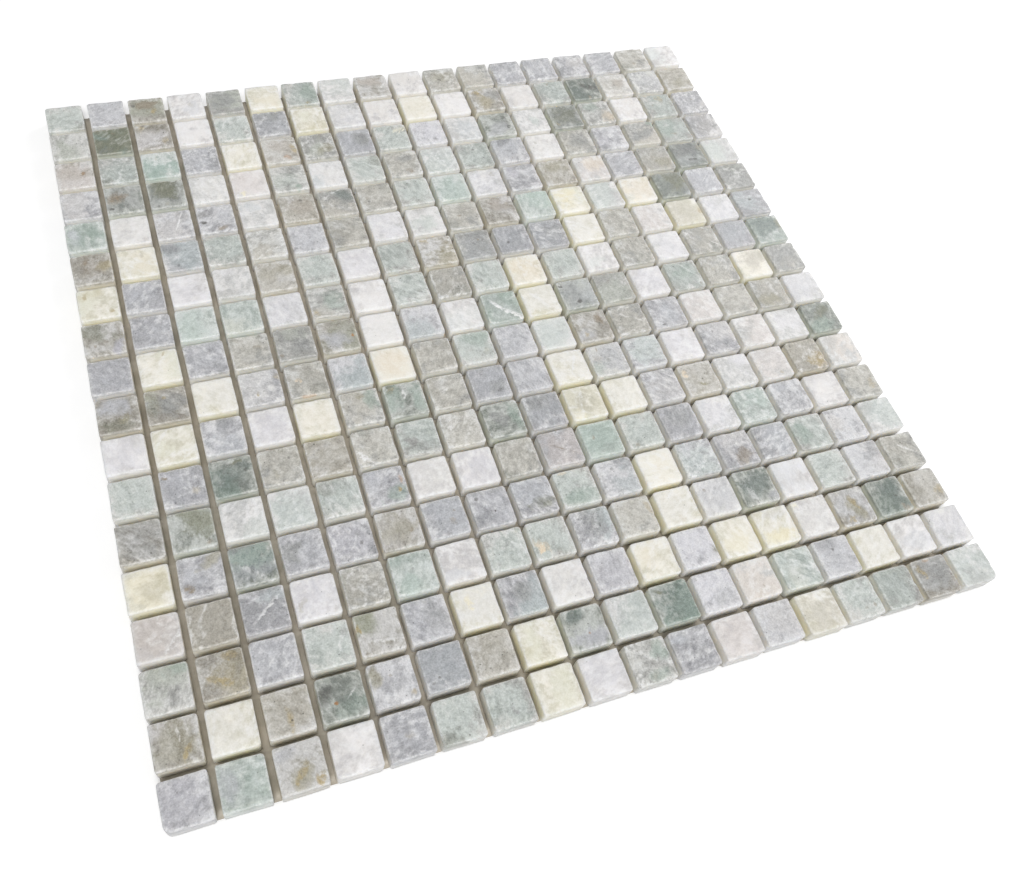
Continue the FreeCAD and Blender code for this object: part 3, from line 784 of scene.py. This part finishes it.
def tumbled_tile(corners, stone):
    """One detailed tile in place of a CAD one: its points, its faces, and the points' values by
    attribute."""
    foot, top, half, centre, turned = measured_tile(corners)
    at = tile_place(corners)
    chance = np.random.default_rng([TILE_SEED, *at])
    radii = chance.uniform(*CORNER_RADII, 4)
    if at in WELL_ROUNDED:
        radii[CORNERS.index(WELL_ROUNDED[at])] = WELL_ROUNDED_RADIUS
    rings, arris_bruise_and_highlight = tile_rings(chance, half, foot, top, radii)
    local = np.concatenate(rings + [[[0.0, 0.0, rings[-1][:, 2].mean()]]])
    placed = local.copy()
    placed[:, :2] = local[:, :2] @ turned + centre

    outside = (np.abs(placed[:, :2]) > cad_box[1].x - OUTER_SKIN).any(axis=1)
    # How far down its side each point is, which sets the sides' painted fill light; outer sides of
    # the sheet count as shallower and get less
    depth = (top - local[:, 2]) / (top - foot)
    values = {
        "grain": local / MM @ chance_turn(chance) + chance.uniform(-400, 400, 3),
        "luck": np.tile(tile_luck(at, chance), (len(local), 1)),
        "wear_and_highlight": np.append(np.repeat(arris_bruise_and_highlight, len(rings[0])), 0.0),
        "depth": np.where(outside, OUTER_PAINTED_FILL * depth, depth),
    }
    for layer, mark in zip(MARK_LAYERS, tile_marks(at, chance, stone)):
        values[layer], values[layer + "_tint"] = mark_values(local, mark)
    return placed, tile_faces(len(rings), len(rings[0])), values


def tumbled_tiles(node, stone):
    """One joined mesh of detailed tiles in place of a CAD node's plain ones."""
    points, faces, values = [], [], []
    for corners in sorted(loose_parts(node), key=tile_place):
        placed, pattern, tile_values = tumbled_tile(corners, stone)
        start = len(points) * len(placed)
        faces += [[start + i for i in corner_points] for corner_points in pattern]
        points.append(placed)
        values.append(tile_values)

    slot = node.replace("_tiles", "_marble")
    attributes = {name: np.concatenate([tile[name] for tile in values]) for name in values[0]}
    piece = new_piece(f"{slot}_tiles", np.concatenate(points), faces, attributes,
                      marble(slot, stone))
    piece.data.shade_smooth()
    piece.data.set_sharp_from_angle(angle=math.radians(50))
    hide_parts(node)


for node, stone in STONES.items():
    tumbled_tiles(node, stone)


# Scrim and glue

YARN_PALE, YARN_DULL = eye_colour(200, 193, 178), eye_colour(176, 168, 150)
GLUE_PALE, GLUE_DULL = eye_colour(193, 185, 171), eye_colour(171, 163, 148)


def glass_yarn(name, fibres_run):
    """Glue-soaked glass yarn. fibres_run is the direction of its fibres, x or y."""
    g = Graph(name)
    along, across = 0.4 / MM, 9.0 / MM
    drawn = (along, across, across) if fibres_run == "x" else (across, along, across)
    fibres = g.noise(g.stretched(g.place(), drawn), 1.0, detail=2.0)
    soaked = g.noise(g.place(), 0.2 / MM, detail=2.0)
    colour = g.mix(g.rise(fibres, 0.35, 0.65), YARN_DULL, YARN_PALE)
    colour = g.mix(g.rise(soaked, 0.4, 0.65), colour, GLUE_DULL)
    g.shade(Base_Color=colour, Roughness=g.rise(soaked, 0.4, 0.6, bottom=0.6, top=0.35),
            Normal=g.bump(fibres, 0.05 * MM))
    return g.material


def dried_glue():
    """Glue with broad smears and fine crumbs."""
    g = Graph("dried_glue")
    smears = g.noise(g.place(), 0.12 / MM, detail=4.0, roughness=0.6)
    crumbs = g.noise(g.place(), 1.5 / MM, detail=2.0)
    colour = g.mix(g.rise(smears, 0.35, 0.65), GLUE_DULL, GLUE_PALE)
    g.shade(Base_Color=colour, Roughness=g.rise(crumbs, 0.3, 0.7, bottom=0.35, top=0.6),
            Normal=g.bump(crumbs, 0.06 * MM))
    return g.material


def yarn_faces(rings, count):
    """Faces of a yarn's row of rings: its two ends and the walls."""
    last = (rings - 1) * count
    return [list(range(count))[::-1], list(range(last, last + count))] + wall_faces(rings, count)


# Across a yarn: places from its middle, and heights from its back to its face
YARN_PROFILE = np.array([(1.0, 0.5), (0.55, 1.0), (-0.55, 1.0), (-1.0, 0.5), (-0.55, 0.0),
                         (0.55, 0.0)])


def yarns(node, fibres_run, chance):
    """One layer of the scrim as flat yarns, wider and sagging a little between crossings."""
    strands = loose_parts(node)
    run, cross = (0, 1) if fibres_run == "x" else (1, 0)
    strands.sort(key=lambda corners: corners[:, cross].mean())
    spans = len(strands) - 1
    stations = 2 * spans + 1
    sides = len(YARN_PROFILE)
    points, faces = [], []
    for corners in strands:
        low, high = corners.min(axis=0), corners.max(axis=0)
        between = np.sin(np.arange(stations) * math.pi / 2) ** 2
        width = (high - low)[cross] / 2 * (0.8 + 0.12 * between + chance.uniform(0, 0.08, stations))
        middle = (high + low)[cross] / 2 + chance.uniform(-1, 1, stations) * 0.03 * MM
        height = (high - low)[2] * (1.0 - 0.25 * between)
        ring = np.zeros((stations, sides, 3))
        ring[:, :, run] = np.linspace(low[run], high[run], stations)[:, None]
        ring[:, :, cross] = middle[:, None] + width[:, None] * YARN_PROFILE[:, 0]
        ring[:, :, 2] = low[2] + height[:, None] * YARN_PROFILE[:, 1]
        start = len(points) * stations * sides
        faces += [[start + i for i in face] for face in yarn_faces(stations, sides)]
        points.append(ring.reshape(-1, 3))
    piece = new_piece(f"{node}_yarns", np.concatenate(points), faces, {},
                      glass_yarn(node, fibres_run))
    piece.data.shade_smooth()
    piece.data.set_sharp_from_angle(angle=math.radians(80))
    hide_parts(node)


GLUE_REACH = 2.2 * MM     # how far the glue runs under the tiles, from the middle of a joint
GLUE_RIM = 1.0 * MM       # how far it stays back from the edge of the sheet
# The glue's upper face, by the distance from the middle of a joint, and its lower one
GLUE_STEPS = [0, 0.5 * MM, 0.95 * MM, 1.25 * MM, GLUE_REACH]
GLUE_TOPS = [0.52 * MM, 0.53 * MM, 0.80 * MM, 0.45 * MM, 0.40 * MM]
GLUE_BACKS = [0.10 * MM, 0.34 * MM]
GLUE_ROUGHNESS, GLUE_BACK_ROUGHNESS = 0.02 * MM, 0.01 * MM
GLUE_WANDER = 0.25 * MM   # how unevenly it ends behind the tiles


def glue_lines():
    """Places across the sheet where the glue's mesh has a line: close together in the joints."""
    edge = cad_box[1].x - GLUE_RIM
    places = [-edge, edge]
    for joint in range(1, TILES_PER_SIDE):
        middle = FIRST_TILE + (joint - 0.5) * PITCH
        for off in GLUE_STEPS[1:]:
            places += [middle - off, middle + off]
    for tile in range(TILES_PER_SIDE):
        middle = FIRST_TILE + tile * PITCH
        places += [middle + share * (PITCH - 2 * GLUE_REACH) for share in (-0.25, 0.0, 0.25)]
    return np.array(sorted(places))


def from_joint(places):
    """How far each place across the sheet is from the middle of the nearest joint."""
    joints = (places - FIRST_TILE) / PITCH - 0.5
    return np.abs(joints - np.clip(np.round(joints), 0, TILES_PER_SIDE - 2)) * PITCH


def glue(chance):
    """The glue that holds scrim and tiles together: a lattice along the joints, which climbs
    the foot of the tiles and thins out behind them."""
    lines = glue_lines()
    count = len(lines)
    x, y = np.meshgrid(lines, lines, indexing="ij")
    off = from_joint(lines)
    off = np.minimum(off[:, None], off[None, :])
    rough = chance.normal(0, 1, (count, count))

    top = np.interp(off, GLUE_STEPS, GLUE_TOPS) + rough * GLUE_ROUGHNESS * (off < 1.1 * MM)
    bottom = np.interp(off, [0, GLUE_REACH], GLUE_BACKS) + rough * GLUE_BACK_ROUGHNESS
    wander = GLUE_WANDER * (off > 2 * MM)
    x = x + wander * chance.normal(0, 1, (count, count))
    y = y + wander * chance.normal(0, 1, (count, count))
    points = np.concatenate([np.stack([x, y, z], axis=-1).reshape(-1, 3) for z in (top, bottom)])

    in_joint = from_joint((lines[1:] + lines[:-1]) / 2) < GLUE_REACH
    faces, edges = [], set()
    below = count * count
    for i in range(count - 1):
        for k in range(count - 1):
            if in_joint[i] or in_joint[k]:
                a, b = i * count + k, (i + 1) * count + k
                c, d = b + 1, a + 1
                faces += [[a, b, c, d], [d + below, c + below, b + below, a + below]]
                edges |= {(a, b), (b, c), (c, d), (d, a)}
    faces += [[b, a, a + below, b + below] for a, b in sorted(edges) if (b, a) not in edges]

    used = sorted({i for face in faces for i in face})
    renumbered = {old: new for new, old in enumerate(used)}
    faces = [[renumbered[i] for i in face] for face in faces]
    piece = new_piece("glue_lattice", points[used], faces, {}, dried_glue())
    piece.data.shade_smooth()


yarns("scrim_warp", "y", np.random.default_rng(WARP_SEED))
yarns("scrim_weft", "x", np.random.default_rng(WEFT_SEED))
glue(np.random.default_rng(GLUE_SEED))


# Floor, light and camera

def seen_white(tree, unseen):
    """A colour that is pure white straight from the camera and in gloss, and else unseen."""
    path = tree.nodes.new("ShaderNodeLightPath")
    seen = path.outputs["Is Camera Ray"]
    for ray in ("Is Glossy Ray", "Is Transmission Ray"):
        either = tree.nodes.new("ShaderNodeMath")
        either.operation = "MAXIMUM"
        tree.links.new(seen, either.inputs[0])
        tree.links.new(path.outputs[ray], either.inputs[1])
        seen = either.outputs[0]
    mix = tree.nodes.new("ShaderNodeMix")
    mix.data_type = "RGBA"
    tree.links.new(seen, mix.inputs[0])
    mix.inputs[MIX_A].default_value = (*unseen, 1.0)
    mix.inputs[MIX_B].default_value = (1.0, 1.0, 1.0, 1.0)
    return mix.outputs[MIX_RESULT]


def floor(half):
    """A plain floor, white where it is lit. It throws back less light than it shows, so that the
    tiles' sides keep their shade."""
    mesh = bpy.data.meshes.new("floor")
    mesh.from_pydata([(-half, -half, 0), (half, -half, 0), (half, half, 0), (-half, half, 0)], [],
                     [(0, 1, 2, 3)])
    plane = bpy.data.objects.new("floor", mesh)
    plane.location.z = cad_box[0].z - 0.02 * MM
    bpy.context.scene.collection.objects.link(plane)
    g = Graph("floor")
    g.shade(Base_Color=seen_white(g.tree, (0.25,) * 3), Roughness=1.0, Specular_IOR_Level=0.0,
            Emission_Color=seen_white(g.tree, (0.0,) * 3), Emission_Strength=0.1)
    mesh.materials.append(g.material)


def soft_light(name, place, size, power):
    """A square lamp that looks at the middle of the sheet."""
    light = bpy.data.lights.new(name, "AREA")
    light.shape, light.size, light.energy = "SQUARE", size, power
    lamp = bpy.data.objects.new(name, light)
    lamp.location = place
    lamp.rotation_euler = Vector(place).to_track_quat("Z", "Y").to_euler()
    bpy.context.scene.collection.objects.link(lamp)


def surroundings(strength):
    """An even white room, which lights the sheet at the given strength."""
    world = bpy.data.worlds.new("studio")
    world.use_nodes = True
    bpy.context.scene.world = world
    tree = world.node_tree
    background = tree.nodes["Background"]
    tree.links.new(seen_white(tree, (strength,) * 3), background.inputs["Color"])
    background.inputs["Strength"].default_value = 1.0


def photo_camera():
    """The camera fitted to the joints in the photograph. Its place is measured from the middle
    of the tiles' top faces, and its focal length is in pixels of the 1024 wide frame."""
    width, focal_pixels, sensor = 1024, 957.9, 36.0
    place = Vector((-123.1, -206.1, 303.2)) * MM + Vector((0, 0, cad_box[1].z))
    right = Vector((0.9402, -0.3103, 0.1401))
    look = Vector((0.2752, 0.4502, -0.8495))
    lens = bpy.data.cameras.new("camera")
    lens.sensor_width = sensor
    lens.lens = focal_pixels / width * sensor
    lens.shift_x, lens.shift_y = 0.045, -0.014
    camera = bpy.data.objects.new("camera", lens)
    up = right.cross(look).normalized()
    camera.matrix_world = Matrix.Translation(place) @ Matrix(
        (right.normalized(), up, -look.normalized())).transposed().to_4x4()
    bpy.context.scene.collection.objects.link(camera)
    bpy.context.scene.camera = camera


floor(half=0.65)  # small enough that the key lamp lights it evenly to its edges
surroundings(0.38)
soft_light("key", (-0.85, -3.25, 4.0), 2.7, 197.0)
soft_light("rim", (0.8, 0.5, 0.55), 0.5, 3.0)
photo_camera()
bpy.context.scene.view_settings.view_transform = "Standard"
